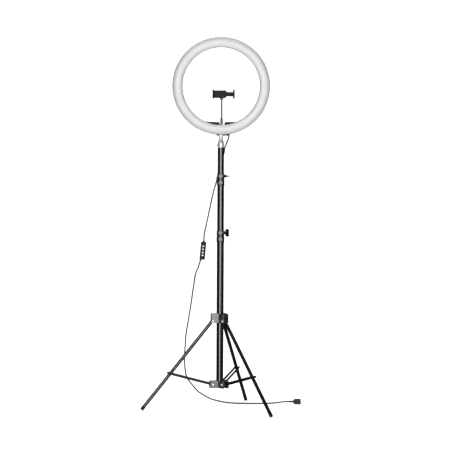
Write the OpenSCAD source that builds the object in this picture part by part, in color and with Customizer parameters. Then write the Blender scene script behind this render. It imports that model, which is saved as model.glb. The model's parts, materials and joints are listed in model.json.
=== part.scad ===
// Ring light on a folding three-legged floor stand, with a phone clamp and a wired remote.
// Millimetres. +Z is up, the lamp faces -Y, and z = 0 is the floor.
// The origin is the middle of the three feet's footprint. The column stands a little off it.

/* [Ring lamp] */
// Outer radius of the ring
ring_r = 180; // [176:1:184]
// Width of the ring's band
band_w = 37; // [35:0.5:38]
// Depth of the ring, back to crown
ring_depth = 32; // [31:0.5:34]
// Height of the ring's centre
ring_z = 1202; // [1200:1:1204]
// Distance of the ring's back behind the column axis (negative is in front)
ring_back_y = -14; // [-15:0.5:-14]
// Wall of the ring's shell and diffuser
shell_wall = 1.8; // [1.6:0.1:2]

/* [Tilt joint] */
// Height of the tilt axis
tilt_z = 1027; // [1026:0.5:1028]
// Half width of the adapter's tongue between the two ears
tongue_half = 5.2; // [5:0.1:5.4]
// Thickness of each ear
ear_t = 9.8; // [9.4:0.1:10]
// Radius of the ears and of the tongue
ear_r = 8.8; // [8.6:0.1:9]

/* [Column] */
// Outside diameter of the lowest tube
lower_od = 26.2; // [25.8:0.1:26.4]
// Wall of the column tubes
tube_wall = 0.5; // [0.5:0.05:0.55]
// Gap between one tube and the next, on the radius
tube_gap = 0.15; // [0.15:0.05:0.2]
// Top of the top tube
column_top = 974; // [972:1:974]
// Bottom of the upper clamp
upper_clamp_z = 833; // [825:1:835]
// Bottom of the lower clamp
lower_clamp_z = 623; // [615:1:630]
// Direction of both clamp screws, in degrees from +X
clamp_az = -20; // [-40:1:0]

/* [Legs] */
// Directions of the left, right and back legs, in degrees from +X
leg_az = [190, 310, 70];
// Outside diameter of a leg
leg_od = 12.6; // [12:0.1:12.8]
// Angle of an open leg from upright
leg_angle = 38.9; // [36:0.1:40]
// Height of the leg pivots on the sliding collar
leg_pivot_z = 331; // [325:1:335]
// Distance of the leg pivots from the column axis
leg_pivot_r = 29; // [28:0.5:30]
// Distance along a leg from its pivot to its brace
brace_at = 250; // [240:1:260]
// Height of the brace pivots on the bottom hub
hub_pivot_z = 94; // [92:1:96]
// Distance of the brace pivots from the column axis
hub_pivot_r = 27; // [26:0.5:28]

/* [Phone clamp] */
// Height of the clamp's middle
clamp_z = 1172; // [1170:1:1174]
// Height of the jaws
jaw_h = 33; // [30:1:36]
// Left and right inner faces of the jaws, which take a phone 74 wide
jaw_x = [-28, 46];

/* [Remote and cord] */
// Width, depth and height of the remote
remote_size = [20, 12, 66];
// Middle of the remote, from the column axis
remote_at = [-65, 10, 591];
// Lean of the remote
remote_lean = 5; // [0:1:8]
// Diameter of the cord
cord_d = 5; // [4.4:0.1:5]

/* [Hidden] */
$fn = 64;

eps = 0.01;
run = 0.05; // running clearance of a pin or screw in its bore

// The column's place, worked out so that the footprint is centred on the origin.
tip_r = leg_od / 2 + 0.3;
foot_flat = 0.6; // how much of a tip is cut off level with the floor
leg_l = (leg_pivot_z - tip_r * sin(leg_angle) + foot_flat) / cos(leg_angle);
foot_r = leg_pivot_r + leg_l * sin(leg_angle);
function tip_reach(c) = tip_r * sqrt(1 - pow(sin(leg_angle) * c, 2));
function foot_low(c) = foot_r * c - tip_reach(c);
function foot_high(c) = foot_r * c + tip_reach(c);
stand_x = -round((foot_low(cos(leg_az[0])) + foot_high(cos(leg_az[1]))) / 2);
stand_y = -round((foot_low(sin(leg_az[1])) + foot_high(sin(leg_az[2]))) / 2);

// Ring
inner_r = ring_r - band_w;
mid_r = (ring_r + inner_r) / 2;
rim_h = 21; // height of the shell's rim above its back
crown_h = 10; // height of the diffuser's crown above its skirt
rim_seen = 0.9; // how much of the shell's rim shows beside the diffuser
ledge_h = 8; // height of the ledge that the board rests on
board_t = 1.6;
chip_rows = [mid_r - 7.25, mid_r + 7.25];
chips_per_row = 36;
shell_screw_angles = [for (k = [0:7]) 22.5 + 45 * k];

// Housing behind the foot of the ring
housing_top = 1068;
housing_rise = 3; // how much higher the housing is at its ends than at its middle
housing_bottom = 1040;
housing_back = 4;
housing_wall = 2;
cover_t = 2;
notch_x = [-5, 13]; // left and right side of the notch for the rod
notch_floor = 1058;
cover_screw_at = [[-50, 1061], [50, 1061], [-41, 1046], [41, 1046]];
ring_screw_at = [[-32, 1052], [32, 1052], [-18, 1046], [18, 1046]]; // they hold the shell to the housing
wire_z = 1047; // the lamp's wires pass from the shell into the housing here
gland_x = 30;
gland_z = 1048;
gland_elbow_y = 10;
gland_drop = 13; // the boot ends this far behind and below its elbow

// Tilt joint
bolt_r = 3;
ear_in = tongue_half + 0.3;
ear_out = ear_in + ear_t;
knob_r = 8.6;
nut_x = 19.6; // the nut's outer end, left of the column axis
bolt_l = 42;

// Adapter
barrel_r = 12.2;
barrel_z = [column_top + 1.5, 992];
post_r = 7.1;
post_z = [1009, 1017];
tongue_w = 12.4;
spigot_r = 8;
socket_top = 990; // top of the adapter's socket, inside its barrel
flare_steps = 8;
adapter_screw_az = 104;
adapter_screw_z = 984;

// Column tubes, outer radii
lower_r = lower_od / 2;
middle_r = lower_r - tube_wall - tube_gap;
top_r = middle_r - tube_wall - tube_gap;
lower_tube_z = [82, 640];
middle_tube_z = [310, 850];
top_tube_z = [454, column_top];

// Clamp sleeves
sleeve_low_h = 21;
sleeve_waist_h = 5;
sleeve_top_h = 18;
sleeve_h = sleeve_low_h + sleeve_waist_h + sleeve_top_h;
sleeve_step = 19.5; // height of the step between the sleeve's two bores
clamp_screw_up = 36.2; // height of the screw above the sleeve's bottom
boss_up = [12.4, 35.9]; // heights of the two round bosses on the sleeve's front
boss_r = 7.8;
boss_edge = 1.1;
clamp_screw_r = 2.5;
clip_az = 146.5;
clip_r = 17.7;
clip_hole_r = cord_d / 2 + 0.8;
clip_wall = 1;
clip_h = 4;
clip_slot = 3.2; // narrower than the cord, so that it stays in

// Legs and braces
leg_r = leg_od / 2;
leg_wall = 0.8;
leg_over = 7; // how far a leg runs past its pivot
pin_r = 2;
head_r = 4;
head_t = 1.4;
fork_out = 13.2;
bar_in = tip_r + 0.3;
bar_t = 1.6;
bar_w = 9;
bar_over = 12.5; // how far a brace runs past the leg
leg_pivot = [leg_pivot_r, 0, leg_pivot_z];
hub_pivot = [hub_pivot_r, 0, hub_pivot_z];
brace_end = leg_pivot + brace_at * [sin(leg_angle), 0, -cos(leg_angle)];
brace_run = brace_end - hub_pivot;
brace_l = norm(brace_run);
brace_rise = atan2(brace_run[2], brace_run[0]);
collar_z = [324, 358];
hub_z = [81, 107.2];
collar_reach = 34;
hub_reach = 38;
slot_from = 15.6; // where the slots start, from the column axis
lobe_corner = 1.5;
lock_az = 130;
lock_z = 349;
lock_base = 17.8; // where the lock knob's neck starts, clear of the lobes beside it

// Phone clamp
rod_x = 2;
rod_y = -5;
rod_r = 3;
elbow_z = 1156;
frame_y = [-20, -10];
arm_t = 3.2;
arm_w = 16;
arm_y = frame_y[0] + 2.5;
arm_end = 6; // the arm's inner end, which stays in the frame when the jaw is out
jaw_front = -33;
jaw_t = 3;
pad_t = 1.2;
arm_gap = 0.3;

// Remote
remote_wall = 1.4;
remote_corner = 3;
button_r = 3;
button_up = [17, 5.5, -6.5, -17];
boot_l = 8;
lower_boot_x = -5; // the lower boot is off the middle, towards the left
lower_boot_turn = 14;

// USB plug, standing on its narrow side
plug_at = [280, 162, 10.3];
plug_grip_size = [28, 9, 20];
plug_shell_size = [16, 4.5, 12];
plug_boot_l = 18;

// Route of the upper cord, from the lamp's gland down to the remote, from the column axis
upper_route = [
    [30, 23, 1035], [30, 26, 1032], [30, 30, 1024], [29, 30, 1013], [25, 26, 1001],
    [22, 22, 993], [18, 18, 983], [14, 15, 972],
    [13, 13, 962], [10, 15, 948], [5, 16, 931], [0, 16, 914], [-5.5, 16, 897], [-9.8, 14.2, 881],
    [-12.4, 12.2, 869], [-14.1, 9.9, 859], [-16.6, 8.6, 846], [-27, 8, 810], [-36, 9, 768],
    [-44, 10, 730], [-53, 10, 688],
    [-60, 10, 655], [-61, 10, 642], [-61.4, 10, 632]
];
// Places on that route where one stretch ends and the next begins
head_cut = 4;
neck_cut = 8;
column_cut = 15;
cord_cut = 0.03;
// Route of the lower cord, from the remote to the floor and along it to the plug
lower_route = [
    [-75.3, 10, 550.5], [-78, 10, 542], [-83, 12, 527], [-92, 14, 504], [-101, 20, 447], [-109, 28, 389],
    [-120, 40, 319], [-127, 49, 277], [-132, 66, 204], [-133, 76, 177], [-131, 92, 142],
    [-126, 110, 111], [-114, 134, 88], [-87, 183, 49], [-59, 218, 25], [-33, 234, 10],
    [-9, 230, 3.8], [6, 215, 2.6], [19, 196, 2.6], [38, 177, 2.6], [72, 163, 2.6], [113, 159, 2.6],
    [150, 162, 2.6], [190, 163, 3.4], [226, 162, 7], [246, 162, 9.7], [262, 162, 10.3]
];

// ---- helpers

function arc(c, r, a0, a1, n = 6) =
    [for (k = [0:n]) [c[0] + r * cos(a0 + (a1 - a0) * k / n), c[1] + r * sin(a0 + (a1 - a0) * k / n)]];

function rounded(w, h, r) = concat(
    arc([w / 2 - r, h / 2 - r], r, 0, 90), arc([-w / 2 + r, h / 2 - r], r, 90, 180),
    arc([-w / 2 + r, -h / 2 + r], r, 180, 270), arc([w / 2 - r, -h / 2 + r], r, 270, 360));

// A point on the smooth curve through four points, a share t of the way from b to c
function between(a, b, c, d, t) =
    0.5 * (2 * b + (c - a) * t + (2 * a - 5 * b + 4 * c - d) * t * t + (3 * b - a - 3 * c + d) * t * t * t);

function smooth(p, n) =
    let (last = len(p) - 1, q = concat([2 * p[0] - p[1]], p, [2 * p[last] - p[last - 1]]))
    concat([for (i = [0:last - 1]) for (k = [0:n - 1]) between(q[i], q[i + 1], q[i + 2], q[i + 3], k / n)],
        [p[last]]);

function unit(v) = v / norm(v);

// A round tube along one stretch of a route, from point a to point b, with n rings to each. It starts
// a hair past point a, so that it doesn't cut into the stretch before it. No stretch runs along Y.
module tube_along(route, a, b, n, sides = 8) {
    whole = smooth(route, n);
    end = len(whole) - 1;
    first = a * n;
    last = (b - a) * n;
    line = [for (i = [0:last]) whole[first + i]];
    points = [for (i = [0:last])
        let (k0 = first + i,
            t = unit(k0 == 0 ? route[1] - route[0] : k0 == end ? route[b] - route[b - 1]
                : whole[k0 + 1] - whole[k0 - 1]),
            u = unit(cross([0, 1, 0], t)),
            v = cross(t, u))
        for (k = [0:sides - 1]) line[i] + (i == 0 ? cord_cut : 0) * t
            + cord_d / 2 * (cos(360 * k / sides) * u + sin(360 * k / sides) * v)];
    walls = [for (i = [0:last - 1]) for (k = [0:sides - 1])
        let (p = i * sides + k, q = i * sides + (k + 1) % sides)
        for (f = [[p, p + sides, q], [q, p + sides, q + sides]]) f];
    near_end = [for (k = [0:sides - 1]) k];
    far_end = [for (k = [sides - 1:-1:0]) last * sides + k];
    polyhedron(points, concat([near_end], walls, [far_end]));
}

module stand_frame() translate([stand_x, stand_y, 0]) children();

// Local z runs forwards from the ring's back, and local y is up
module ring_frame() stand_frame() translate([0, ring_back_y, ring_z]) rotate([90, 0, 0]) children();

// Local x runs outwards in the plane of a leg, and local y is across it
module leg_frame(az) stand_frame() rotate(az) children();

// Local z runs outwards from the column axis at a height
module outwards(az, z) stand_frame() translate([0, 0, z]) rotate(az) rotate([0, 90, 0]) children();

// Extrudes an outline drawn in (x, z) from y0 to y1
module slab(y0, y1) translate([0, y1, 0]) rotate([90, 0, 0]) linear_extrude(y1 - y0) children();

// A solid of revolution along X from x0, drawn in (radius, distance)
module along_x(x0, y, z) translate([x0, y, z]) rotate([0, 90, 0]) children();

module ring_of(r_out, r_in, h) difference() {
    cylinder(h = h, r = r_out);
    translate([0, 0, -1]) cylinder(h = h + 2, r = r_in);
}

// Shallow finger grooves round a knob
module fluted(r, h, flutes, groove) difference() {
    cylinder(h = h, r = r);
    for (k = [0:flutes - 1]) rotate(360 * k / flutes)
        translate([r + groove * 0.45, 0, -1]) cylinder(h = h + 2, r = groove);
}

module cross_slot(w, depth) for (a = [0, 90]) rotate(a)
    translate([-w / 2, -w / 10, 0]) cube([w, w / 5, depth]);

// ---- ring lamp

module rear_shell() color("#1b1b1d") ring_frame() difference() {
    wall = shell_wall;
    rotate_extrude($fn = 128) polygon(concat(
        arc([ring_r - 4, 4], 4, 270, 360),
        [[ring_r, rim_h], [ring_r - wall, rim_h], [ring_r - wall, ledge_h],
            [ring_r - wall - 1.5, ledge_h], [ring_r - wall - 1.5, 2],
            [inner_r + wall + 1.5, 2], [inner_r + wall + 1.5, ledge_h],
            [inner_r + wall, ledge_h], [inner_r + wall, rim_h], [inner_r, rim_h]],
        arc([inner_r + 4, 4], 4, 180, 270)));
    for (a = shell_screw_angles) rotate(a) translate([mid_r, 0, -1]) cylinder(h = 4, r = 1.6);
    translate([0, wire_z - ring_z, -1]) cylinder(h = 4, r = 3);
    for (p = ring_screw_at) translate([p[0], p[1] - ring_z, -1]) cylinder(h = 4, r = 1.6);
}

module front_diffuser() color("#eef0f2") ring_frame() {
    half = band_w / 2 - rim_seen;
    skirt = ring_depth - crown_h;
    thick = 2;
    difference() {
        union() {
            rotate_extrude($fn = 128) polygon(concat(
                [[mid_r + half, rim_h]],
                [for (k = [0:16]) [mid_r + half * cos(k * 180 / 16), skirt + crown_h * sin(k * 180 / 16)]],
                [[mid_r - half, rim_h], [mid_r - half + thick, rim_h]],
                [for (k = [16:-1:0]) [mid_r + (half - thick) * cos(k * 180 / 16),
                    skirt + (crown_h - thick) * sin(k * 180 / 16)]],
                [[mid_r + half - thick, rim_h]]));
            for (a = shell_screw_angles) rotate(a) translate([mid_r, 0, 2])
                cylinder(h = ring_depth - 3, r = 3);
        }
        for (a = shell_screw_angles) rotate(a) translate([mid_r, 0, 1]) cylinder(h = 13, r = 1.25 + run);
    }
}

module led_board() color("#f2f2ee") ring_frame() difference() {
    translate([0, 0, ledge_h]) ring_of(ring_r - shell_wall - 0.3, inner_r + shell_wall + 0.3, board_t);
    for (a = shell_screw_angles) rotate(a) translate([mid_r, 0, ledge_h - 1]) cylinder(h = 4, r = 3.4);
}

module led_chips() color("#f6e7b0") ring_frame() for (row = chip_rows)
    for (k = [0:chips_per_row - 1]) rotate(360 * k / chips_per_row)
        translate([row - 1.4, -1.75, ledge_h + board_t]) cube([2.8, 3.5, 0.8]);

// A screw whose head sits on z = 0 and whose shank runs up
module small_screw(shank) difference() {
    union() {
        translate([0, 0, -1.6]) cylinder(h = 1.6, r1 = 2.2, r2 = 2.9);
        cylinder(h = shank, r = 1.25);
    }
    translate([0, 0, -1.7]) cross_slot(3, 1.1);
}

// Eight hold the diffuser from behind, and four inside the shell hold it to the housing
module shell_screws() color("#3a3a3c") ring_frame() {
    for (a = shell_screw_angles) rotate(a) translate([mid_r, 0, 0]) small_screw(12);
    for (p = ring_screw_at) translate([p[0], p[1] - ring_z, 2]) rotate([180, 0, 0]) small_screw(10);
}

function housing_outline(inset) = [
    [-61 + inset, housing_top - 4 - inset], [-58 + inset, housing_top + housing_rise - inset],
    [0, housing_top - inset],
    [58 - inset, housing_top + housing_rise - inset], [61 - inset, housing_top - 4 - inset],
    [50 - inset, housing_bottom + 4 + inset * 0.6], [45 - inset, housing_bottom + inset],
    [-45 + inset, housing_bottom + inset], [-50 + inset, housing_bottom + 4 + inset * 0.6]];

module notch_outline(grow) translate([notch_x[0] - grow, notch_floor - grow])
    square([notch_x[1] - notch_x[0] + 2 * grow, 40]);

module ear_plate(x0, y_back) along_x(x0, 0, tilt_z) linear_extrude(ear_t) union() {
    up = housing_bottom - tilt_z + housing_wall;
    circle(r = ear_r);
    translate([-up, -ear_r]) square([up, ear_r + y_back]);
}

module mount_housing() color("#161617") stand_frame() difference() {
    union() {
        slab(ring_back_y, housing_back) difference() {
            polygon(housing_outline(0));
            notch_outline(0);
        }
        ear_plate(ear_in, housing_back);
        ear_plate(-ear_out, housing_back);
    }
    difference() {
        slab(ring_back_y + housing_wall, housing_back + 1) difference() {
            polygon(housing_outline(housing_wall));
            notch_outline(housing_wall);
        }
        for (p = cover_screw_at) translate([p[0], ring_back_y, p[1]]) rotate([-90, 0, 0])
            cylinder(h = housing_back - ring_back_y, r = 3.5);
        for (p = ring_screw_at) translate([p[0], ring_back_y, p[1]]) rotate([-90, 0, 0])
            cylinder(h = 10, r = 3.2);
    }
    for (p = cover_screw_at) translate([p[0], housing_back - 10, p[1]]) rotate([-90, 0, 0])
        cylinder(h = 12, r = 1.25 + run);
    along_x(-ear_out - 1, 0, tilt_z) cylinder(h = 2 * ear_out + 2, r = bolt_r + run);
    translate([rod_x, rod_y, notch_floor - housing_wall - 1]) cylinder(h = housing_wall + 2, r = 4.5 + run);
    translate([0, ring_back_y - 1, wire_z]) rotate([-90, 0, 0]) cylinder(h = housing_wall + 2, r = 3);
    for (p = ring_screw_at) translate([p[0], ring_back_y - 1, p[1]]) rotate([-90, 0, 0])
        cylinder(h = 10, r = 1.25 + run);
}

module mount_cover() color("#161617") stand_frame() difference() {
    slab(housing_back, housing_back + cover_t) difference() {
        polygon(housing_outline(0));
        notch_outline(0);
    }
    for (p = cover_screw_at) translate([p[0], housing_back - 1, p[1]]) rotate([-90, 0, 0])
        cylinder(h = cover_t + 2, r = 1.6);
    translate([gland_x, housing_back - 1, gland_z]) rotate([-90, 0, 0])
        cylinder(h = cover_t + 2, r = 3 + run);
}

module cover_screws() color("#3a3a3c") stand_frame() for (p = cover_screw_at)
    translate([p[0], housing_back + cover_t, p[1]]) rotate([90, 0, 0]) small_screw(10);

module cable_gland() color("#202022") stand_frame() {
    back = housing_back + cover_t;
    translate([gland_x, housing_back - 1, gland_z]) rotate([-90, 0, 0]) cylinder(h = cover_t + 2, r = 3);
    translate([gland_x, back, gland_z]) rotate([-90, 0, 0]) cylinder(h = gland_elbow_y - back, r = 4.6);
    translate([gland_x, gland_elbow_y, gland_z]) sphere(r = 4.6);
    translate([gland_x, gland_elbow_y, gland_z]) rotate([-135, 0, 0])
        cylinder(h = gland_drop * sqrt(2), r1 = 4.2, r2 = cord_d / 2 + 0.3);
}

module holder_socket() color("#8d9094") stand_frame() translate([rod_x, rod_y, 0]) difference() {
    flange_h = 2;
    flange_r = 7;
    stem_h = 8;
    stem_r = 4.5;
    bore_r = 2.5 + run;
    floor_h = 2;
    union() {
        translate([0, 0, notch_floor]) cylinder(h = flange_h, r = flange_r);
        translate([0, 0, notch_floor - stem_h]) cylinder(h = stem_h + eps, r = stem_r);
    }
    translate([0, 0, notch_floor - stem_h + floor_h]) cylinder(h = 12, r = bore_r);
}

// ---- tilt joint and adapter

module tilt_bolt() color("#9a9da1") stand_frame() along_x(-nut_x - 0.2, 0, tilt_z)
    cylinder(h = bolt_l, r = bolt_r);

// A six-sided nut on a round neck that bears on the left ear
module tilt_nut() color("#161617") stand_frame() along_x(-nut_x, 0, tilt_z) difference() {
    nut_h = 3.4;
    nut_r = 6;
    neck_r = 5;
    union() {
        cylinder(h = nut_h, r = nut_r, $fn = 6);
        cylinder(h = nut_x - ear_out - 0.1, r = neck_r);
    }
    translate([0, 0, -1]) cylinder(h = 12, r = bolt_r + run);
}

module tilt_knob() color("#161617") stand_frame() along_x(ear_out + 0.3, 0, tilt_z) difference() {
    neck_r = 6.5;
    head_from = 2;
    head_h = 11.5;
    crown_h = 2.6;
    union() {
        cylinder(h = head_from + 1, r = neck_r);
        translate([0, 0, head_from]) fluted(knob_r, head_h, 8, 2.2);
        translate([0, 0, head_from + head_h]) cylinder(h = crown_h, r1 = knob_r - 2, r2 = knob_r - 3.6);
    }
    translate([0, 0, -1]) cylinder(h = 12, r = bolt_r + run);
}

// A point a share s of the way up the flare between the barrel and the post
function flare(s) = [post_r + (barrel_r - post_r) * pow(1 - s, 1.7),
    barrel_z[1] + (post_z[0] - barrel_z[1]) * s];

module adapter_body() color("#c9ccd0") stand_frame() difference() {
    union() {
        along_x(-tongue_half, 0, tilt_z) linear_extrude(2 * tongue_half) union() {
            circle(r = ear_r - 0.7);
            translate([0, -tongue_w / 2]) square([tilt_z - post_z[1] + 2, tongue_w]);
        }
        rotate_extrude() polygon(concat(
            [[0, barrel_z[0]], [barrel_r, barrel_z[0]]],
            [for (k = [0:flare_steps]) flare(k / flare_steps)],
            [[post_r, post_z[1]], [0, post_z[1]]]));
    }
    along_x(-20, 0, tilt_z) cylinder(h = 40, r = bolt_r + run);
    translate([0, 0, barrel_z[0] - 1]) cylinder(h = socket_top - barrel_z[0] + 1, r = spigot_r + 0.1);
    translate([0, 0, adapter_screw_z]) rotate(adapter_screw_az) rotate([0, 90, 0])
        cylinder(h = 20, r = bolt_r + run);
}

module adapter_screw() color("#161617") outwards(adapter_screw_az, adapter_screw_z) {
    neck_r = 5;
    head_r = 9.2;
    head_h = 8;
    translate([0, 0, spigot_r + 0.4]) cylinder(h = 10, r = bolt_r);
    translate([0, 0, barrel_r + 1]) cylinder(h = 3, r = neck_r);
    translate([0, 0, barrel_r + 3.5]) fluted(head_r, head_h, 14, 1.2);
}

module top_spigot() color("#c9ccd0") stand_frame() {
    plug_h = 22;
    rim_h = 1.2;
    translate([0, 0, column_top - plug_h]) cylinder(h = plug_h, r = top_r - tube_wall - run);
    translate([0, 0, column_top]) cylinder(h = rim_h, r = top_r);
    translate([0, 0, column_top + 1]) cylinder(h = socket_top - column_top - 1.5, r = spigot_r);
}

// ---- column

module column_tube(z, r) color("#121213") stand_frame() translate([0, 0, z[0]])
    ring_of(r, r - tube_wall, z[1] - z[0]);

module top_tube() column_tube(top_tube_z, top_r);

module middle_tube() column_tube(middle_tube_z, middle_r);

module lower_tube() column_tube(lower_tube_z, lower_r);

// A round boss with a rounded edge, as far out as h
module front_boss(h) rotate_extrude() polygon(concat(
    [[0, 1], [boss_r, 1]], arc([boss_r - boss_edge, h - boss_edge], boss_edge, 0, 90, 4), [[0, h]]));

// A sleeve fixed on one tube that grips the thinner tube inside it
module clamp_sleeve(z, outer_r, grip_r) color("#1b1b1d") stand_frame() translate([0, 0, z]) difference() {
    low = outer_r + 1.4;
    waist = outer_r + 0.8;
    top = outer_r + 1.1;
    split = sleeve_low_h + sleeve_waist_h;
    edge = 1.5;
    screw_boss_r = [7.4, 5.8];
    union() {
        rotate_extrude() polygon(concat(
            [[1, 0]], arc([low - edge, edge], edge, 270, 360),
            arc([low - edge, sleeve_low_h - edge], edge, 0, 60),
            [[waist, sleeve_low_h + 0.4], [waist, split - 0.4]],
            arc([top - edge, split + edge], edge, 300, 360), arc([top - edge, sleeve_h - edge], edge, 0, 90),
            [[1, sleeve_h]]));
        translate([0, 0, clamp_screw_up]) rotate(clamp_az) rotate([0, 90, 0])
            cylinder(h = outer_r + 4.4, r1 = screw_boss_r[0], r2 = screw_boss_r[1]);
        for (up = boss_up) translate([0, 0, up]) rotate([90, 0, 0]) front_boss(outer_r + 2.8);
    }
    translate([0, 0, -1]) cylinder(h = sleeve_step + 1, r = outer_r + run);
    translate([0, 0, -1]) cylinder(h = sleeve_h + 2, r = grip_r + 0.15);
    translate([0, 0, clamp_screw_up]) rotate(clamp_az) rotate([0, 90, 0])
        cylinder(h = 40, r = clamp_screw_r + run);
    rotate(clamp_az + 180) translate([0, -0.8, split]) cube([40, 1.6, sleeve_h]);
}

// A screw with a flat wing across its end
module wing_screw(z, outer_r, grip_r, turn) color("#161617") outwards(clamp_az, z + clamp_screw_up) {
    base = outer_r + 4.7;
    hub_l = 9;
    wing = [28.5, 12.6, 3.2];
    translate([0, 0, grip_r + 0.4]) cylinder(h = base - grip_r, r = clamp_screw_r);
    translate([0, 0, base]) cylinder(h = hub_l, r1 = 5.6, r2 = 2);
    rotate(turn) translate([0, wing[2] / 2, base + 2.6]) rotate([90, 0, 0]) linear_extrude(wing[2])
        translate([0, wing[1] / 2]) polygon(rounded(wing[0], wing[1], 3));
}

module upper_clamp() clamp_sleeve(upper_clamp_z, middle_r, top_r);

module upper_knob() wing_screw(upper_clamp_z, middle_r, top_r, 90);

module lower_clamp() clamp_sleeve(lower_clamp_z, lower_r, middle_r);

module lower_knob() wing_screw(lower_clamp_z, lower_r, middle_r, 0);

// An open ring that the cord is pushed into
module cable_clip() color("#8a8c8f") stand_frame() translate([0, 0, upper_clamp_z + sleeve_low_h + 0.5])
    rotate(clip_az) difference() {
        union() {
            translate([middle_r + 0.85, -2, 0]) cube([clip_r - middle_r - clip_hole_r - 0.9, 4, clip_h]);
            translate([clip_r, 0, 0]) cylinder(h = clip_h, r = clip_hole_r + clip_wall);
        }
        translate([clip_r, 0, -1]) cylinder(h = clip_h + 2, r = clip_hole_r);
        translate([clip_r, -clip_slot / 2, -1]) cube([10, clip_slot, clip_h + 2]);
    }

// ---- legs

function turned(p, a) = [p[0] * cos(a) - p[1] * sin(a), p[0] * sin(a) + p[1] * cos(a)];

// The outline of a block with three lobes, whose flat sides meet between them
function lobed(reach) = let (c = lobe_corner, x = reach - c, y = fork_out - c) [for (az = leg_az)
    each concat([turned([fork_out / cos(30), 0], az - 60)],
        [for (p = concat(arc([x, -y], c, 270, 360, 4), arc([x, y], c, 0, 90, 4))) turned(p, az)])];

// A block with three lobes round the column, and a slot for a leg or a brace in each
module forked_ring(z, bore, reach, fork_in, roof_z) stand_frame() difference() {
    translate([0, 0, z[0]]) linear_extrude(z[1] - z[0]) polygon(lobed(reach));
    for (az = leg_az) rotate(az)
        translate([slot_from, -fork_in, z[0] - 1]) cube([reach, 2 * fork_in, roof_z - z[0] + 1]);
    translate([0, 0, z[0] - 1]) cylinder(h = z[1] - z[0] + 2, r = bore);
}

module rivet_head() cylinder(h = head_t, r1 = head_r, r2 = head_r - 1.2);

module pivot_pins(pivot) color("#d8dadd") for (az = leg_az)
    leg_frame(az) translate(pivot) rotate([90, 0, 0]) {
        cylinder(h = 2 * fork_out, r = pin_r, center = true);
        for (s = [-1, 1]) scale([1, 1, s]) translate([0, 0, fork_out]) rivet_head();
    }

module pivot_bores(pivot) for (az = leg_az) leg_frame(az) translate(pivot) rotate([90, 0, 0])
    cylinder(h = 60, r = pin_r + run, center = true);

module bottom_hub() color("#1b1b1d") difference() {
    forked_ring(hub_z, lower_r + run, hub_reach, bar_in + bar_t + 0.3, hub_z[1] + 1);
    pivot_bores(hub_pivot);
}

module hub_pins() pivot_pins(hub_pivot);

module leg_collar() color("#1b1b1d") difference() {
    forked_ring(collar_z, lower_r + 0.2, collar_reach, leg_r + 0.3, leg_pivot_z + 11);
    pivot_bores(leg_pivot);
    outwards(lock_az, lock_z) cylinder(h = 40, r = clamp_screw_r + run);
}

module leg_pins() pivot_pins(leg_pivot);

module leg_lock_knob() color("#161617") outwards(lock_az, lock_z) {
    translate([0, 0, lower_r + 0.5]) cylinder(h = 8, r = clamp_screw_r);
    translate([0, 0, lock_base]) cylinder(h = 3, r = 4);
    translate([0, 0, lock_base + 2.8]) fluted(8.5, 10, 6, 2.4);
}

// Local z runs down a leg from its pivot
module down_leg(az) leg_frame(az) translate(leg_pivot) rotate([0, 180 - leg_angle, 0]) children();

module leg_tube(az) color("#121213") down_leg(az) difference() {
    translate([0, 0, -leg_over]) cylinder(h = leg_l + leg_over - 4, r = leg_r);
    translate([0, 0, -leg_over - 1]) cylinder(h = leg_l + leg_over, r = leg_r - leg_wall);
    for (z = [0, brace_at]) translate([0, 0, z]) rotate([90, 0, 0])
        cylinder(h = 3 * leg_r, r = pin_r + run, center = true);
}

module foot_cap(az) color("#0e0e0f") intersection() {
    down_leg(az) difference() {
        translate([0, 0, leg_l - 16]) cylinder(h = 16, r = tip_r);
        translate([0, 0, leg_l - 17]) cylinder(h = 13, r = leg_r + run);
    }
    stand_frame() translate([-400, -400, 0]) cube([800, 800, 100]);
}

// Two flat bars, one on each side of a leg, each with its half of the rivet
module brace(az) leg_frame(az) translate(hub_pivot) rotate([0, -brace_rise, 0])
    for (s = [-1, 1]) scale([1, s, 1]) {
        end = brace_l + bar_over;
        color("#121213") difference() {
            slab(bar_in, bar_in + bar_t) union() {
                circle(r = bar_w / 2);
                translate([0, -bar_w / 2]) square([end - bar_w / 2, bar_w]);
                translate([end - bar_w / 2, 0]) circle(r = bar_w / 2);
            }
            for (x = [0, brace_l]) translate([x, 0, 0]) rotate([-90, 0, 0])
                cylinder(h = 20, r = pin_r + run);
        }
        color("#d8dadd") translate([brace_l, 0, 0]) rotate([-90, 0, 0]) {
            translate([0, 0, bar_in]) cylinder(h = bar_t + eps, r = pin_r);
            translate([0, 0, bar_in + bar_t]) rivet_head();
        }
    }

// ---- phone clamp

module holder_rod() color("#161617") stand_frame() translate([rod_x, rod_y, 0]) difference() {
    union() {
        translate([0, 0, notch_floor - 5]) cylinder(h = 8, r = 2.5);
        translate([0, 0, notch_floor + 2.2]) cylinder(h = 20, r = 4.6);
        translate([0, 0, notch_floor + 22.2]) cylinder(h = 4, r1 = 4.6, r2 = rod_r);
        translate([0, 0, notch_floor + 20]) cylinder(h = elbow_z - notch_floor - 28, r = rod_r);
        translate([0, 0, elbow_z - 8.5]) cylinder(h = 5, r = rod_r - 0.6);
        translate([0, 0, elbow_z]) rotate([0, 90, 0]) cylinder(h = 5, r = 4.8, center = true);
    }
    translate([0, 0, elbow_z]) rotate([0, 90, 0]) cylinder(h = 20, r = 1.5 + run, center = true);
}

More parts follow.
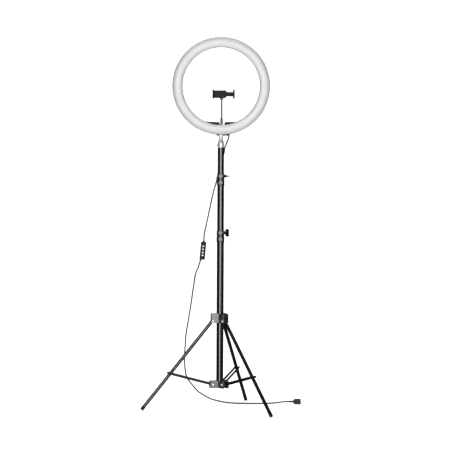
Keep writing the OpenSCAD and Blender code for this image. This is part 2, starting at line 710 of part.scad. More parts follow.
module holder_elbow() color("#161617") stand_frame() translate([rod_x, rod_y, 0]) {
    for (x = [-5.4, 2.8]) along_x(x, 0, elbow_z) linear_extrude(2.6) union() {
        circle(r = 4.8);
        translate([-12, -4.8]) square([12, 9.6]);
    }
    translate([-5.4, -4.8, elbow_z + 8]) cube([10.8, 9.6, clamp_z - elbow_z - 3]);
    translate([0, -4.7, clamp_z]) rotate([90, 0, 0]) cylinder(h = 3, r = 4);
    along_x(-6.6, 0, elbow_z) cylinder(h = 13.2, r = 1.5);
}

// An upright plate with a lip along its front edge. Its inner face carries a pad.
module jaw(x, s) translate([x, jaw_front, clamp_z - jaw_h / 2]) scale([s, 1, 1]) linear_extrude(jaw_h) {
    depth = frame_y[1] - jaw_front;
    lip = [6.4, 2.4];
    translate([pad_t + jaw_t / 2, depth / 2]) polygon(rounded(jaw_t, depth, 1));
    translate([pad_t + jaw_t - lip[0] / 2, lip[1] / 2]) polygon(rounded(lip[0], lip[1], 1));
}

module holder_frame() color("#161617") stand_frame() difference() {
    half_h = 14;
    union() {
        slab(frame_y[0], frame_y[1]) translate([(jaw_x[0] + 20) / 2 - 1, clamp_z])
            polygon(rounded(20 - jaw_x[0] + 1, 2 * half_h, 4));
        jaw(jaw_x[0], -1);
        translate([jaw_x[0] - pad_t - 1, frame_y[0], clamp_z - 8]) cube([8, frame_y[1] - frame_y[0], 16]);
    }
    translate([-14, arm_y - arm_gap, clamp_z - arm_w / 2 - arm_gap])
        cube([60, arm_t + 2 * arm_gap, arm_w + 2 * arm_gap]);
    translate([rod_x, frame_y[1] - 3, clamp_z]) rotate([-90, 0, 0]) cylinder(h = 10, r = 4 + run);
}

module holder_jaw() color("#161617") stand_frame() {
    jaw(jaw_x[1], 1);
    translate([arm_end, arm_y, clamp_z - arm_w / 2]) cube([jaw_x[1] + pad_t + 1 - arm_end, arm_t, arm_w]);
}

module grip_pad(x, s) color("#2b2b2d") stand_frame() translate([x, 0, clamp_z]) scale([s, 1, 1])
    translate([0, frame_y[0] - 9.5, -jaw_h / 2 + 2]) cube([pad_t, 8.5, jaw_h - 4]);

module frame_pad() grip_pad(jaw_x[0], -1);

module jaw_pad() grip_pad(jaw_x[1], 1);

// ---- remote

module remote_frame() stand_frame() translate(remote_at) rotate([0, remote_lean, 0]) children();

// Half of the remote's case, hollow from the side that open points away from
module remote_shell(y0, y1, open) difference() {
    in_w = remote_size[0] - 2 * remote_wall;
    in_h = remote_size[2] - 2 * remote_wall;
    slab(y0, y1) polygon(rounded(remote_size[0], remote_size[2], remote_corner));
    translate([0, open, 0]) slab(y0, y1) polygon(rounded(in_w, in_h, remote_corner - remote_wall));
}

module remote_front() color("#141415") remote_frame() difference() {
    remote_shell(-remote_size[1] / 2, 0, remote_wall);
    for (z = button_up) translate([0, -remote_size[1], z]) rotate([-90, 0, 0])
        cylinder(h = remote_size[1], r = button_r + 0.3);
}

module remote_back() color("#141415") remote_frame() remote_shell(0, remote_size[1] / 2, -remote_wall);

module remote_board() color("#2c5a3c") remote_frame() slab(-0.8, 0.8)
    polygon(rounded(remote_size[0] - 2 * remote_wall - 0.6, remote_size[2] - 2 * remote_wall - 0.6, 1));

module remote_boots() color("#141415") remote_frame() {
    translate([0, 0, remote_size[2] / 2]) cylinder(h = boot_l, r1 = 3.7, r2 = cord_d / 2 + 0.3);
    translate([lower_boot_x, 0, -remote_size[2] / 2]) rotate([0, 180 + lower_boot_turn, 0]) difference() {
        translate([0, 0, -2]) cylinder(h = boot_l + 2, r1 = 4, r2 = cord_d / 2 + 0.3);
        rotate([0, -lower_boot_turn, 0]) translate([-10, -10, -10]) cube([20, 20, 10]);
    }
}

module remote_button(i) color("#f0f1f2") remote_frame() translate([0, 0, button_up[i]]) rotate([90, 0, 0]) {
    translate([0, 0, 2]) cylinder(h = 1.8, r = button_r + 0.9);
    translate([0, 0, 3]) cylinder(h = 3.8, r = button_r);
    translate([0, 0, 6.8]) cylinder(h = 0.5, r1 = button_r, r2 = button_r - 0.6);
}

// ---- plug and cord

module plug_frame() stand_frame() translate(plug_at) children();

module plug_grip() color("#141415") plug_frame() {
    translate([-plug_boot_l, 0, 0]) rotate([0, 90, 0])
        cylinder(h = plug_boot_l, r1 = cord_d / 2 + 0.3, r2 = 3.8);
    slab(-plug_grip_size[1] / 2, plug_grip_size[1] / 2) polygon(concat(
        [[plug_grip_size[0], -plug_grip_size[2] / 2], [plug_grip_size[0], plug_grip_size[2] / 2]],
        arc([6, plug_grip_size[2] / 2 - 3], 3, 90, 150), [[0, 5], [0, -5]],
        arc([6, -plug_grip_size[2] / 2 + 3], 3, 210, 270)));
}

module plug_shell() color("#d8dadd") plug_frame() translate([plug_grip_size[0], 0, 0]) difference() {
    half = plug_shell_size[1] / 2;
    sheet = 0.4;
    slab(-half, half) translate([plug_shell_size[0] / 2, 0])
        square([plug_shell_size[0], plug_shell_size[2]], center = true);
    slab(sheet - half, half - sheet) translate([plug_shell_size[0] / 2 + 0.5, 0])
        square([plug_shell_size[0], plug_shell_size[2] - 2 * sheet], center = true);
    for (z = [-3, 3]) translate([8, -5, z - 1.2]) cube([2.4, 5, 2.4]);
}

module plug_tongue() color("#e8e9ea") plug_frame() translate([plug_grip_size[0] + 0.5, 0, 0])
    slab(0, plug_shell_size[1] / 2 - 0.4) translate([0, 0.5 - plug_shell_size[2] / 2])
        square([14, plug_shell_size[2] - 1]);

module upper_cord(a, b) color("#141415") stand_frame() tube_along(upper_route, a, b, 1);

module lower_cord() color("#141415") stand_frame() tube_along(lower_route, 0, len(lower_route) - 1, 1);

rear_shell();
front_diffuser();
led_board();
led_chips();
shell_screws();
mount_housing();
mount_cover();
cover_screws();
cable_gland();
holder_socket();
tilt_bolt();
tilt_nut();
tilt_knob();
adapter_body();
adapter_screw();
top_spigot();
top_tube();
middle_tube();
upper_clamp();
upper_knob();
cable_clip();
lower_tube();
lower_clamp();
lower_knob();
bottom_hub();
hub_pins();
leg_collar();
leg_pins();
leg_lock_knob();
leg_tube(leg_az[0]);  // leg_tube_left
leg_tube(leg_az[1]);  // leg_tube_right
leg_tube(leg_az[2]);  // leg_tube_back
foot_cap(leg_az[0]);  // foot_cap_left
foot_cap(leg_az[1]);  // foot_cap_right
foot_cap(leg_az[2]);  // foot_cap_back
brace(leg_az[0]);  // brace_left
brace(leg_az[1]);  // brace_right
brace(leg_az[2]);  // brace_back
holder_rod();
holder_elbow();
holder_frame();
holder_jaw();
frame_pad();
jaw_pad();
remote_front();
remote_back();
remote_board();
remote_boots();
remote_button(0);  // remote_button_1
remote_button(1);  // remote_button_2
remote_button(2);  // remote_button_3
remote_button(3);  // remote_button_4
plug_grip();
plug_shell();
plug_tongue();
upper_cord(0, head_cut);  // cord_head
upper_cord(head_cut, neck_cut);  // cord_neck
upper_cord(neck_cut, column_cut);  // cord_column
upper_cord(column_cut, len(upper_route) - 1);  // cord_remote
lower_cord();  // cord_floor
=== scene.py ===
"""Looks for the ring light on its folding stand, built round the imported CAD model. Metres."""

import json
import math

import bmesh
import bpy
from mathutils import Matrix, Vector

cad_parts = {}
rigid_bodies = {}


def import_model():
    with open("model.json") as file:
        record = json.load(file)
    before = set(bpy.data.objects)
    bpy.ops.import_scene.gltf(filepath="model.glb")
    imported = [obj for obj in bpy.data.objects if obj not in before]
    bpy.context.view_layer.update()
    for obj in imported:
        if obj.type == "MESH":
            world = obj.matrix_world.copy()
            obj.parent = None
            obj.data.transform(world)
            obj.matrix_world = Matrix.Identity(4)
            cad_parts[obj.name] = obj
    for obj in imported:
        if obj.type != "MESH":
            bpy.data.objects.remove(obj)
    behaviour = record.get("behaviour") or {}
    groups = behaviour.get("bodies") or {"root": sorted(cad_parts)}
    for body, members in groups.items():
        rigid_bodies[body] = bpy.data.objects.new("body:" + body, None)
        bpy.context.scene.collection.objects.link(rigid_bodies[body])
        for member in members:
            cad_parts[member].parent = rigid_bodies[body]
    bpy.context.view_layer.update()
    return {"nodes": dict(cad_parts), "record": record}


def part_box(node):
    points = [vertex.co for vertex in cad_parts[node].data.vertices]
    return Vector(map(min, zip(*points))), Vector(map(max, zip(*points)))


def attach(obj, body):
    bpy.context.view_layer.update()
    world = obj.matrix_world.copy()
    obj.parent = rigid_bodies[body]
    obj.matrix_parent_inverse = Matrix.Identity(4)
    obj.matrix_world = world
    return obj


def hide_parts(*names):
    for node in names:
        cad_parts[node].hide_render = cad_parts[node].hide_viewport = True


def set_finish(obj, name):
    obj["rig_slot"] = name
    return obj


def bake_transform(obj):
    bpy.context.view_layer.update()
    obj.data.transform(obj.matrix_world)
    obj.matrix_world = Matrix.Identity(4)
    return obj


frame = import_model()
scene = bpy.context.scene
nodes = frame["nodes"]
body_of_node = {n: b for b, members in frame["record"]["behaviour"]["bodies"].items() for n in members}
slot_of_node = {s["node"]: s["material_slot"] for s in frame["record"]["subparts"]}


# ---- places

def centre(node):
    """The middle of a CAD node's box."""
    low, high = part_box(node)
    return (low + high) / 2


AXIS = centre("lower_tube")


def at(x, y, z):
    """A place given in millimetres from the column axis and the floor."""
    return Vector((AXIS.x + x / 1000, AXIS.y + y / 1000, z / 1000))


# ---- camera

CAMERA_BACK = 8.0
CAMERA_HEIGHT = 1.024
CAMERA_SIDE = 0.0167
VIEW_WIDTH = 1.6695  # how much the picture takes in at the column
TILT = math.radians(2.409)
ROLL = math.radians(0.3)
SENSOR_WIDTH = 36  # mm
FARTHEST_SEEN = 60


def make_camera():
    """A long lens in front of the stand, a little to its right, looking slightly down."""
    data = bpy.data.cameras.new("camera")
    data.sensor_width = SENSOR_WIDTH
    data.lens = SENSOR_WIDTH * CAMERA_BACK / VIEW_WIDTH
    data.clip_end = FARTHEST_SEEN
    camera = bpy.data.objects.new("camera", data)
    scene.collection.objects.link(camera)
    camera.matrix_world = (
        Matrix.Translation((AXIS.x + CAMERA_SIDE, AXIS.y - CAMERA_BACK, CAMERA_HEIGHT))
        @ Matrix.Rotation(math.pi / 2 - TILT, 4, "X")
        @ Matrix.Rotation(ROLL, 4, "Z")
    )
    scene.camera = camera


make_camera()


# ---- mesh helpers

TUBE_SIDES = 14
WELD = 2e-6  # vertices closer than this become one
COPLANAR = math.radians(0.5)  # faces that meet at less than this become one
EDGE_ANGLE = math.radians(28)  # edges flatter than this are not rounded
EDGE_SEGMENTS = 2


def from_bmesh(name, bm):
    """A smooth-shaded object from a bmesh, which is used up."""
    mesh = bpy.data.meshes.new(name)
    bm.normal_update()
    bm.to_mesh(mesh)
    bm.free()
    for polygon in mesh.polygons:
        polygon.use_smooth = True
    piece = bpy.data.objects.new(name, mesh)
    scene.collection.objects.link(piece)
    return piece


def smooth_line(points, steps):
    """The same smooth curve through the points as the CAD's, with more places on it."""
    line = []
    ends = [2 * points[0] - points[1]] + points + [2 * points[-1] - points[-2]]
    for a, b, c, d in zip(ends, ends[1:], ends[2:], ends[3:]):
        for k in range(steps):
            t = k / steps
            line.append(0.5 * (2 * b + (c - a) * t + (2 * a - 5 * b + 4 * c - d) * t * t
                               + (3 * b - a - 3 * c + d) * t ** 3))
    return line + [points[-1]]


def heading(line, i):
    """The direction of a line at its place i."""
    return (line[min(i + 1, len(line) - 1)] - line[max(i - 1, 0)]).normalized()


def tube_mesh(name, line, headings, radius):
    """A round tube along a line, closed at both ends, with the line's direction at each of its places."""
    bm = bmesh.new()
    rings = []
    side = None
    for p, along in zip(line, headings):
        side = (along.orthogonal() if side is None else side - along * side.dot(along)).normalized()
        other = along.cross(side)
        rings.append([bm.verts.new(p + radius * (math.cos(a) * side + math.sin(a) * other))
                      for a in (2 * math.pi * k / TUBE_SIDES for k in range(TUBE_SIDES))])
    for low, high in zip(rings, rings[1:]):
        for k in range(TUBE_SIDES):
            following = (k + 1) % TUBE_SIDES
            bm.faces.new((low[k], low[following], high[following], high[k]))
    bm.faces.new(list(reversed(rings[0])))
    bm.faces.new(rings[-1])
    return from_bmesh(name, bm)


def softened(node, width):
    """A piece with a CAD node's shape and rounded edges, which stands for that node. Flat faces stay flat."""
    bm = bmesh.new()
    bm.from_mesh(nodes[node].data)
    bmesh.ops.remove_doubles(bm, verts=bm.verts, dist=WELD)
    bmesh.ops.dissolve_limit(bm, angle_limit=COPLANAR, verts=bm.verts, edges=bm.edges)
    piece = from_bmesh(node + "_finished", bm)
    bevel = piece.modifiers.new("edges", "BEVEL")
    bevel.width = width
    bevel.segments = EDGE_SEGMENTS
    bevel.limit_method = "ANGLE"
    bevel.angle_limit = EDGE_ANGLE
    bevel.miter_outer = "MITER_ARC"
    weighted = piece.modifiers.new("normals", "WEIGHTED_NORMAL")
    weighted.keep_sharp = False
    depsgraph = bpy.context.evaluated_depsgraph_get()
    mesh = bpy.data.meshes.new_from_object(piece.evaluated_get(depsgraph))
    piece.modifiers.clear()
    piece.data = mesh
    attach(piece, body_of_node[node])
    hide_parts(node)
    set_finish(piece, slot_of_node[node])
    return piece


# ---- the remote and the plug, which are on the cord, with how wide their edges are rounded

REMOTE_EDGES = {
    "remote_front": 0.0006, "remote_back": 0.0006, "remote_boots": 0.0003, "remote_button_1": 0.0003,
    "remote_button_2": 0.0003, "remote_button_3": 0.0003, "remote_button_4": 0.0003,
}
PLUG_EDGES = {"plug_grip": 0.0008, "plug_shell": 0.0001, "plug_tongue": 0.0002}
remote = [softened(node, width) for node, width in REMOTE_EDGES.items()]
plug = [softened(node, width) for node, width in PLUG_EDGES.items()]


# ---- cords

CORD_D = 0.005
CORD_STEPS = 6
UPPER_ROUTE = [at(*p) for p in (
    (30, 23, 1035), (30, 26, 1032), (30, 30, 1024), (29, 30, 1013), (25, 26, 1001),
    (22, 22, 993), (18, 18, 983), (14, 15, 972),
    (13, 13, 962), (10, 15, 948), (5, 16, 931), (0, 16, 914), (-5.5, 16, 897), (-9.8, 14.2, 881),
    (-12.4, 12.2, 869), (-14.1, 9.9, 859), (-16.6, 8.6, 846), (-27, 8, 810), (-36, 9, 768),
    (-44, 10, 730), (-53, 10, 688), (-60, 10, 655), (-61, 10, 642), (-61.4, 10, 632))]
LOWER_ROUTE = [at(*p) for p in (
    (-75.3, 10, 550.5), (-78, 10, 542), (-83, 12, 527), (-92, 14, 504), (-101, 20, 447), (-109, 28, 389),
    (-120, 40, 319), (-127, 49, 277), (-132, 66, 204), (-133, 76, 177), (-131, 92, 142),
    (-126, 110, 111), (-114, 134, 88), (-87, 183, 49), (-59, 218, 25), (-33, 234, 10),
    (-9, 230, 3.8), (6, 215, 2.6), (19, 196, 2.6), (38, 177, 2.6), (72, 163, 2.6), (113, 159, 2.6),
    (150, 162, 2.6), (190, 163, 3.4), (226, 162, 7), (246, 162, 9.7), (262, 162, 10.3))]
upper_line = smooth_line(UPPER_ROUTE, CORD_STEPS)
lower_line = smooth_line(LOWER_ROUTE, CORD_STEPS)
# where one stretch of the upper line ends and the next begins: at points 4, 8 and 15 of its route
HEAD_CUT, NECK_CUT, COLUMN_CUT = (point * CORD_STEPS for point in (4, 8, 15))


def cord_piece(node, line, start, stop, blend=None):
    """One stretch of a cord, from place start to place stop of its whole line."""
    part = line[start:stop + 1]
    headings = [heading(line, i) for i in range(start, stop + 1)]
    piece = tube_mesh(node + "_jacket", part, headings, CORD_D / 2)
    if blend:
        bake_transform(piece)
    else:
        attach(piece, body_of_node[node])
    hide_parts(node)
    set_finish(piece, slot_of_node[node])


cord_piece("cord_head", upper_line, 0, HEAD_CUT,
           ("head", "adapter", at(30, 23, 1033), at(25, 26, 1003)))
cord_piece("cord_neck", upper_line, HEAD_CUT, NECK_CUT,
           ("adapter", "top_section", at(18, 18, 985), at(13, 13, 962)))
cord_piece("cord_column", upper_line, NECK_CUT, COLUMN_CUT,
           ("top_section", "middle_section", at(13, 13, 960), at(-14.1, 9.9, 861)))
cord_piece("cord_remote", upper_line, COLUMN_CUT, len(upper_line) - 1)
cord_piece("cord_floor", lower_line, 0, len(lower_line) - 1,
           ("middle_section", "column", at(-80, 10, 535), at(-126, 110, 60)))


# ---- the rest of the pieces with rounded edges

STAND_EDGES = {
    "mount_housing": 0.0008, "mount_cover": 0.0005, "cable_gland": 0.0003, "holder_socket": 0.0003,
    "tilt_nut": 0.0004, "tilt_knob": 0.0006, "adapter_body": 0.0005, "adapter_screw": 0.0005,
    "top_spigot": 0.0003, "upper_clamp": 0.0004, "lower_clamp": 0.0004, "upper_knob": 0.0007,
    "lower_knob": 0.0007, "cable_clip": 0.0003, "bottom_hub": 0.0007, "leg_collar": 0.0007,
    "leg_lock_knob": 0.0006, "holder_rod": 0.0003, "holder_elbow": 0.0005, "holder_frame": 0.0006,
    "holder_jaw": 0.0004, "frame_pad": 0.0003, "jaw_pad": 0.0003,
}
stand = {node: softened(node, width) for node, width in STAND_EDGES.items()}


# ---- materials

USUAL_LOW, USUAL_HIGH = 0.3, 0.7  # most of a noise texture's values are between these


class Material:
    """A node material round one Principled shader, with textures placed by the object's own coordinates."""

    def __init__(self, name, roughness, metallic=0.0, **sockets):
        self.material = bpy.data.materials.new(name)
        self.material.use_nodes = True
        self.tree = self.material.node_tree
        self.shader = self.tree.nodes["Principled BSDF"]
        self.set("Roughness", roughness)
        self.set("Metallic", metallic)
        for socket, value in sockets.items():
            self.set(socket.replace("_", " "), value)
        self.place = self.node("ShaderNodeTexCoord").outputs["Object"]

    def node(self, kind):
        return self.tree.nodes.new(kind)

    def set(self, socket, value):
        """A value that is the same all over the surface."""
        self.shader.inputs[socket].default_value = value

    def link(self, a, b):
        self.tree.links.new(a, b)

    def texture(self, kind, scale, stretch=(1, 1, 1)):
        """A texture node, finer with a larger scale. A small stretch along an axis draws it out that way."""
        mapping = self.node("ShaderNodeMapping")
        mapping.inputs["Scale"].default_value = stretch
        self.link(self.place, mapping.inputs["Vector"])
        texture = self.node(kind)
        texture.inputs["Scale"].default_value = scale
        self.link(mapping.outputs["Vector"], texture.inputs["Vector"])
        return texture

    def noise(self, scale, detail, stretch=(1, 1, 1)):
        """Soft clouds, with finer ones inside them where detail is larger."""
        texture = self.texture("ShaderNodeTexNoise", scale, stretch)
        texture.inputs["Detail"].default_value = detail
        texture.inputs["Roughness"].default_value = 0.5
        return texture.outputs["Fac"]

    def cells(self, scale):
        """The distance from the middle of a small cell."""
        return self.texture("ShaderNodeTexVoronoi", scale).outputs["Distance"]

    def between(self, value, low, high, out_low=0.0, out_high=1.0):
        """A texture's range from low to high, stretched to a new range."""
        spread = self.node("ShaderNodeMapRange")
        limits = {"From Min": low, "From Max": high, "To Min": out_low, "To Max": out_high}
        for socket, number in limits.items():
            spread.inputs[socket].default_value = number
        self.link(value, spread.inputs["Value"])
        return spread.outputs["Result"]

    def vector_step(self, operation, vector, second=(0, 0, 0)):
        """A vector maths node, on a vector and a fixed second one."""
        step = self.node("ShaderNodeVectorMath")
        step.operation = operation
        step.inputs[1].default_value = second
        self.link(vector, step.inputs[0])
        return step

    def colours(self, value, stops):
        """Base colour from a ramp. Each stop is a place on it and a colour."""
        ramp = self.node("ShaderNodeValToRGB")
        elements = ramp.color_ramp.elements
        while len(elements) < len(stops):
            elements.new(0.5)  # it gets its own place below
        for element, (place, colour) in zip(elements, stops):
            element.position = place
            element.color = (*colour, 1)
        self.link(value, ramp.inputs["Fac"])
        self.link(ramp.outputs["Color"], self.shader.inputs["Base Color"])

    def mottle(self, noise, dark, light, low=USUAL_LOW, high=USUAL_HIGH):
        """Base colour that drifts from dark to light."""
        self.colours(noise, ((low, dark), (high, light)))

    def vary_roughness(self, noise, smoothest, roughest, low=USUAL_LOW, high=USUAL_HIGH):
        """Roughness that drifts from smoothest to roughest."""
        self.link(self.between(noise, low, high, smoothest, roughest), self.shader.inputs["Roughness"])

    def bump(self, value, strength, distance, below=None):
        """Fine relief on the surface, on top of the relief below."""
        bump = self.node("ShaderNodeBump")
        bump.inputs["Strength"].default_value = strength
        bump.inputs["Distance"].default_value = distance
        self.link(value, bump.inputs["Height"])
        if below is not None:
            self.link(below, bump.inputs["Normal"])
        self.link(bump.outputs["Normal"], self.shader.inputs["Normal"])
        return bump.outputs["Normal"]


def grey(v):
    """A neutral colour."""
    return (v, v, v)


def shade(colour, factor):
    """A colour made darker or lighter."""
    return tuple(c * factor for c in colour)


def coated_tube():
    """Glossy black coating with a faint orange peel and fine rubs along the tube."""
    m = Material("coated_tube", 0.2, Specular_IOR_Level=0.75)
    m.mottle(m.noise(60, 3), grey(0.0010), grey(0.0022))
    m.vary_roughness(m.noise(500, 4, stretch=(1, 1, 0.06)), 0.13, 0.19, low=0.35)
    m.bump(m.noise(900, 2), 0.02, 0.0001)
    return m


def gloss_nylon(name, ior):
    """Glossy black moulded nylon with soft flow mottling, as on the clamps and the leg hubs."""
    m = Material(name, 0.36, Specular_IOR_Level=0.9, IOR=ior)
    m.mottle(m.noise(120, 4), grey(0.0020), grey(0.0045))
    m.vary_roughness(m.noise(220, 3), 0.30, 0.42)
    peel = m.bump(m.noise(170, 2), 0.25, 0.0005)
    m.bump(m.noise(1600, 2), 0.10, 0.0001, peel)
    return m


def matte_plastic(name, colour, roughness, grain=0.14, sheen=0.12):
    """Moulded plastic with a fine spark-eroded grain."""
    m = Material(name, roughness, Specular_IOR_Level=sheen)
    m.mottle(m.noise(90, 4), shade(colour, 0.85), shade(colour, 1.15))
    m.vary_roughness(m.noise(300, 3), roughness - 0.06, roughness + 0.06)
    coarse = m.bump(m.cells(1100), grain, 0.0002)
    m.bump(m.noise(2600, 2), grain, 0.0001, coarse)
    return m


def gloss_plastic(name, colour, roughness):
    """Smooth plastic or paint with a faint waviness."""
    m = Material(name, roughness, Specular_IOR_Level=0.3)
    m.mottle(m.noise(140, 3), shade(colour, 0.8), shade(colour, 1.2))
    m.vary_roughness(m.noise(260, 3), roughness - 0.05, roughness + 0.08)
    m.bump(m.noise(1200, 2), 0.05, 0.0001)
    return m


RING_INNER, RING_OUTER = 0.143, 0.180  # the radii that the band's greys, with their painted shade, run between
# painted shade: greys across the band that darken towards both rims, in place of the light falling off over
# its curved section
DIFFUSER_PAINTED_SHADE = tuple((place, grey(value)) for place, value in (
    (0.0, 0.45), (0.08, 0.50), (0.2, 0.57), (0.36, 0.61), (0.55, 0.59), (0.72, 0.53), (0.86, 0.45),
    (0.95, 0.38), (1.0, 0.37)))  # across the band, from the inner rim (0) to the outer one (1)


def diffuser():
    """Milky acrylic with very fine scatter specks. Its base colour carries painted shade: whitest a little
    inside the middle of the band and greyer towards its two rims, where the band's curved section turns away
    from the light."""
    m = Material("milky_diffuser", 0.38, Subsurface_Weight=0.25, Subsurface_Scale=0.004,
                 Specular_IOR_Level=0.45)
    m.set("Subsurface Radius", (1.0, 0.9, 0.8))
    offset = m.vector_step("SUBTRACT", m.place, centre("front_diffuser"))
    flat = m.vector_step("MULTIPLY", offset.outputs["Vector"], (1, 0, 1))
    radius = m.vector_step("LENGTH", flat.outputs["Vector"])
    across = m.between(radius.outputs["Value"], RING_INNER, RING_OUTER)
    speck = m.between(m.cells(1400), 0.02, 0.16, -0.02, 0.02)
    total = m.node("ShaderNodeMath")
    total.operation = "ADD"
    m.link(across, total.inputs[0])
    m.link(speck, total.inputs[1])
    # base colour from the painted shade across the band, with the specks added
    m.colours(total.outputs["Value"], DIFFUSER_PAINTED_SHADE)
    m.vary_roughness(m.noise(150, 3), 0.32, 0.46)
    m.bump(m.noise(2200, 2), 0.10, 0.0001)
    return m


def silver_casting():
    """Satin silver metal, with the fine pits and cloudy sheen of a plated casting."""
    m = Material("silver_casting", 0.4, 0.6)
    m.mottle(m.noise(130, 5), grey(0.52), grey(0.66), low=0.25, high=0.75)
    m.vary_roughness(m.noise(340, 4), 0.34, 0.48)
    pits = m.bump(m.noise(700, 4), 0.12, 0.0003)
    m.bump(m.noise(2400, 2), 0.12, 0.0001, pits)
    return m


def bright_metal(name, value, roughness, stretch=(1, 1, 1), metallic=1.0):
    """Metal with fine marks, which a small stretch along an axis draws out into lines."""
    m = Material(name, roughness, metallic)
    m.mottle(m.noise(400, 4, stretch=stretch), grey(value * 0.85), grey(value))
    m.vary_roughness(m.noise(900, 3, stretch=stretch), roughness - 0.07, roughness + 0.08)
    m.bump(m.noise(1800, 3, stretch=stretch), 0.12, 0.0001)
    return m


def rubber(name, colour, roughness):
    """Dull rubber with dusty patches and a pebbled surface."""
    m = Material(name, roughness, Specular_IOR_Level=0.15)
    m.mottle(m.noise(150, 5), shade(colour, 0.8), shade(colour, 1.5), high=0.75)
    m.vary_roughness(m.noise(420, 4), roughness - 0.1, roughness + 0.1)
    m.bump(m.noise(1500, 4), 0.25, 0.0002)
    return m


def phosphor():
    """The yellow coating of the light chips, under clear resin."""
    m = Material("phosphor", 0.3, Coat_Weight=0.4, Coat_Roughness=0.05)
    m.mottle(m.noise(900, 3), (0.72, 0.56, 0.16), (0.88, 0.74, 0.34))
    m.bump(m.noise(2500, 2), 0.08, 0.0001)
    return m


def circuit(name, base, trace):
    """Solder mask with faint tracks under it."""
    m = Material(name, 0.35, Coat_Weight=0.3, Coat_Roughness=0.15)
    m.colours(m.cells(180), ((0.15, trace), (0.22, base), (0.9, base)))
    m.bump(m.noise(1500, 2), 0.08, 0.0001)
    return m


def glowing_paper(name, roughness, glow, detail, dark, light):
    """Matte paper with faint clouds of grey, which gives off some light of its own."""
    m = Material(name, roughness, Emission_Strength=glow)
    m.set("Emission Color", (1, 1, 1, 1))
    m.mottle(m.noise(3, detail), grey(dark), grey(light))
    return m


BLACK = (0.0030, 0.0030, 0.0033)
looks = {
    "shell_plastic": matte_plastic("shell_plastic_finish", (0.006, 0.006, 0.0065), 0.48),
    "diffuser_plastic": diffuser(),
    "board_white": circuit("white_board", (0.76, 0.76, 0.72), (0.66, 0.66, 0.60)),
    "chip_phosphor": phosphor(),
    "dark_steel": bright_metal("blackened_steel", 0.09, 0.35),
    "bracket_plastic": matte_plastic("bracket_plastic_finish", BLACK, 0.44),
    "boot_rubber": rubber("boot_rubber_finish", BLACK, 0.5),
    "satin_steel": bright_metal("turned_steel", 0.62, 0.3, stretch=(1, 1, 0.1)),
    "knob_plastic": matte_plastic("knob_plastic_finish", BLACK, 0.36, grain=0.10),
    "adapter_silver": silver_casting(),
    "tube_black": coated_tube(),
    "clamp_black": gloss_nylon("clamp_nylon", 1.6),
    "rivet_steel": bright_metal("rivet_metal", 0.95, 0.42, metallic=0.45),
    "brace_black": gloss_plastic("brace_coating", BLACK, 0.26),
    "foot_rubber": rubber("foot_rubber_finish", grey(0.003), 0.45),
    "clip_plastic": matte_plastic("clip_plastic_finish", (0.20, 0.205, 0.21), 0.4, sheen=0.4),
    "holder_plastic": matte_plastic("holder_plastic_finish", BLACK, 0.42),
    "remote_plastic": matte_plastic("remote_case", BLACK, 0.4, grain=0.08),
    "button_white": matte_plastic("button_silicone", (0.80, 0.81, 0.82), 0.42, grain=0.05, sheen=0.5),
    "board_green": circuit("green_board", (0.02, 0.09, 0.04), (0.03, 0.16, 0.07)),
    "plug_plastic": gloss_plastic("plug_grip_plastic", BLACK, 0.3),
    "plug_nickel": bright_metal("nickel_sheet", 0.80, 0.22),
    "plug_white": matte_plastic("plug_tongue_plastic", (0.78, 0.79, 0.79), 0.4, grain=0.05, sheen=0.5),
    "cord_jacket": rubber("cord_jacket_finish", BLACK, 0.42),
}
hub_nylon = gloss_nylon("hub_nylon", 1.95)  # shinier than on the clamps, for the leg collar and bottom hub


def paint(piece, look):
    """Gives a piece one look all over."""
    piece.data.materials.clear()
    piece.data.materials.append(look.material)


# ---- floor, surround and light

STAGE_HALF_WIDTH = 16
STAGE_FRONT, STAGE_BACK = -14, 5  # the ends of the flat floor
STAGE_BEND = 3  # the radius that takes the floor up into the backdrop
STAGE_BEND_STEPS = 15
STAGE_TOP = 12
SURROUND_R, SURROUND_LOW, SURROUND_HIGH = 15.0, -1.5, 14.0
SURROUND_SIDES = 96
WORLD_COLOUR, WORLD_STRENGTH = (0.96, 0.98, 1.0, 1), 0.10
LIGHTS = (  # name, place, the point it faces, size, power in watts, spread in degrees
    ("front", (-1.3, -8.8, 1.6), (0, 0, 1.6), (3.6, 5.6), 600, 180),
    ("side", (3.2, -8.8, 0.9), (0, 0, 0.5), (1.5, 2.4), 135, 180),
    ("overhead", (0, 0.8, 5.5), (0, 0.8, 0), (6, 5), 110, 110),
    ("backdrop", (0, 3.0, 5.5), (0, 7.2, 1.0), (6, 1.5), 110, 140),
)


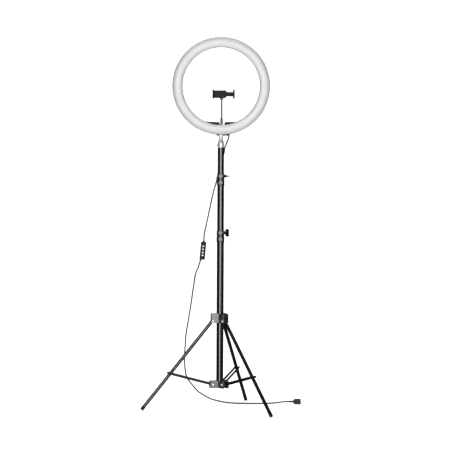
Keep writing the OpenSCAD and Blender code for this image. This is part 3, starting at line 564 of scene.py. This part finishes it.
def make_stage():
    """A pale floor that curves up into a backdrop."""
    bend = [(STAGE_BACK + STAGE_BEND * math.sin(a), STAGE_BEND - STAGE_BEND * math.cos(a))
            for a in (math.radians(90 * k / STAGE_BEND_STEPS) for k in range(1, STAGE_BEND_STEPS + 1))]
    profile = [(STAGE_FRONT, 0), (STAGE_BACK, 0)] + bend + [(STAGE_BACK + STAGE_BEND, STAGE_TOP)]
    bm = bmesh.new()
    left, right = [[bm.verts.new((x, y, z)) for y, z in profile]
                   for x in (-STAGE_HALF_WIDTH, STAGE_HALF_WIDTH)]
    for i in range(len(profile) - 1):
        bm.faces.new((left[i], right[i], right[i + 1], left[i + 1]))
    stage = from_bmesh("stage_floor", bm)
    paint(stage, glowing_paper("stage_paper", roughness=0.85, glow=0.4, detail=3, dark=0.88, light=0.90))
    stage.visible_glossy = False  # keeps the white paper out of the reflections in the black tubes


def make_surround():
    """A round pale wall far outside everything. Only the camera sees it, so it doesn't light the object."""
    bm = bmesh.new()
    low, high = [[bm.verts.new((SURROUND_R * math.cos(a), SURROUND_R * math.sin(a), height))
                  for a in (2 * math.pi * k / SURROUND_SIDES for k in range(SURROUND_SIDES))]
                 for height in (SURROUND_LOW, SURROUND_HIGH)]
    for k in range(SURROUND_SIDES):
        following = (k + 1) % SURROUND_SIDES
        bm.faces.new((low[k], low[following], high[following], high[k]))
    wall = from_bmesh("surround", bm)
    paint(wall, glowing_paper("surround_paper", roughness=0.9, glow=1.0, detail=2, dark=0.02, light=0.03))
    for kind in ("diffuse", "glossy", "transmission", "volume_scatter", "shadow"):
        setattr(wall, "visible_" + kind, False)


def make_lights():
    """A faint, slightly cool world, and a soft light for each row of LIGHTS."""
    world = bpy.data.worlds.new("studio")
    world.use_nodes = True
    background = world.node_tree.nodes["Background"]
    background.inputs["Color"].default_value = WORLD_COLOUR
    background.inputs["Strength"].default_value = WORLD_STRENGTH
    scene.world = world
    for name, place, aim, size, power, spread in LIGHTS:
        data = bpy.data.lights.new(name, "AREA")
        data.shape = "RECTANGLE"
        data.size, data.size_y = size
        data.energy = power
        data.spread = math.radians(spread)
        light = bpy.data.objects.new(name, data)
        scene.collection.objects.link(light)
        light.location = place
        light.rotation_euler = (Vector(aim) - Vector(place)).to_track_quat("-Z", "Y").to_euler()
        light.visible_camera = False


make_stage()
make_surround()
make_lights()
scene.view_settings.view_transform = "Standard"


# ---- every piece and CAD node takes the look of its slot, and then the two leg hubs take hub_nylon

for node, thing in nodes.items():
    paint(thing, looks[slot_of_node[node]])
for thing in list(scene.objects):
    if thing.type == "MESH" and "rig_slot" in thing:
        paint(thing, looks[thing["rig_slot"]])
for node in ("leg_collar", "bottom_hub"):
    paint(stand[node], hub_nylon)
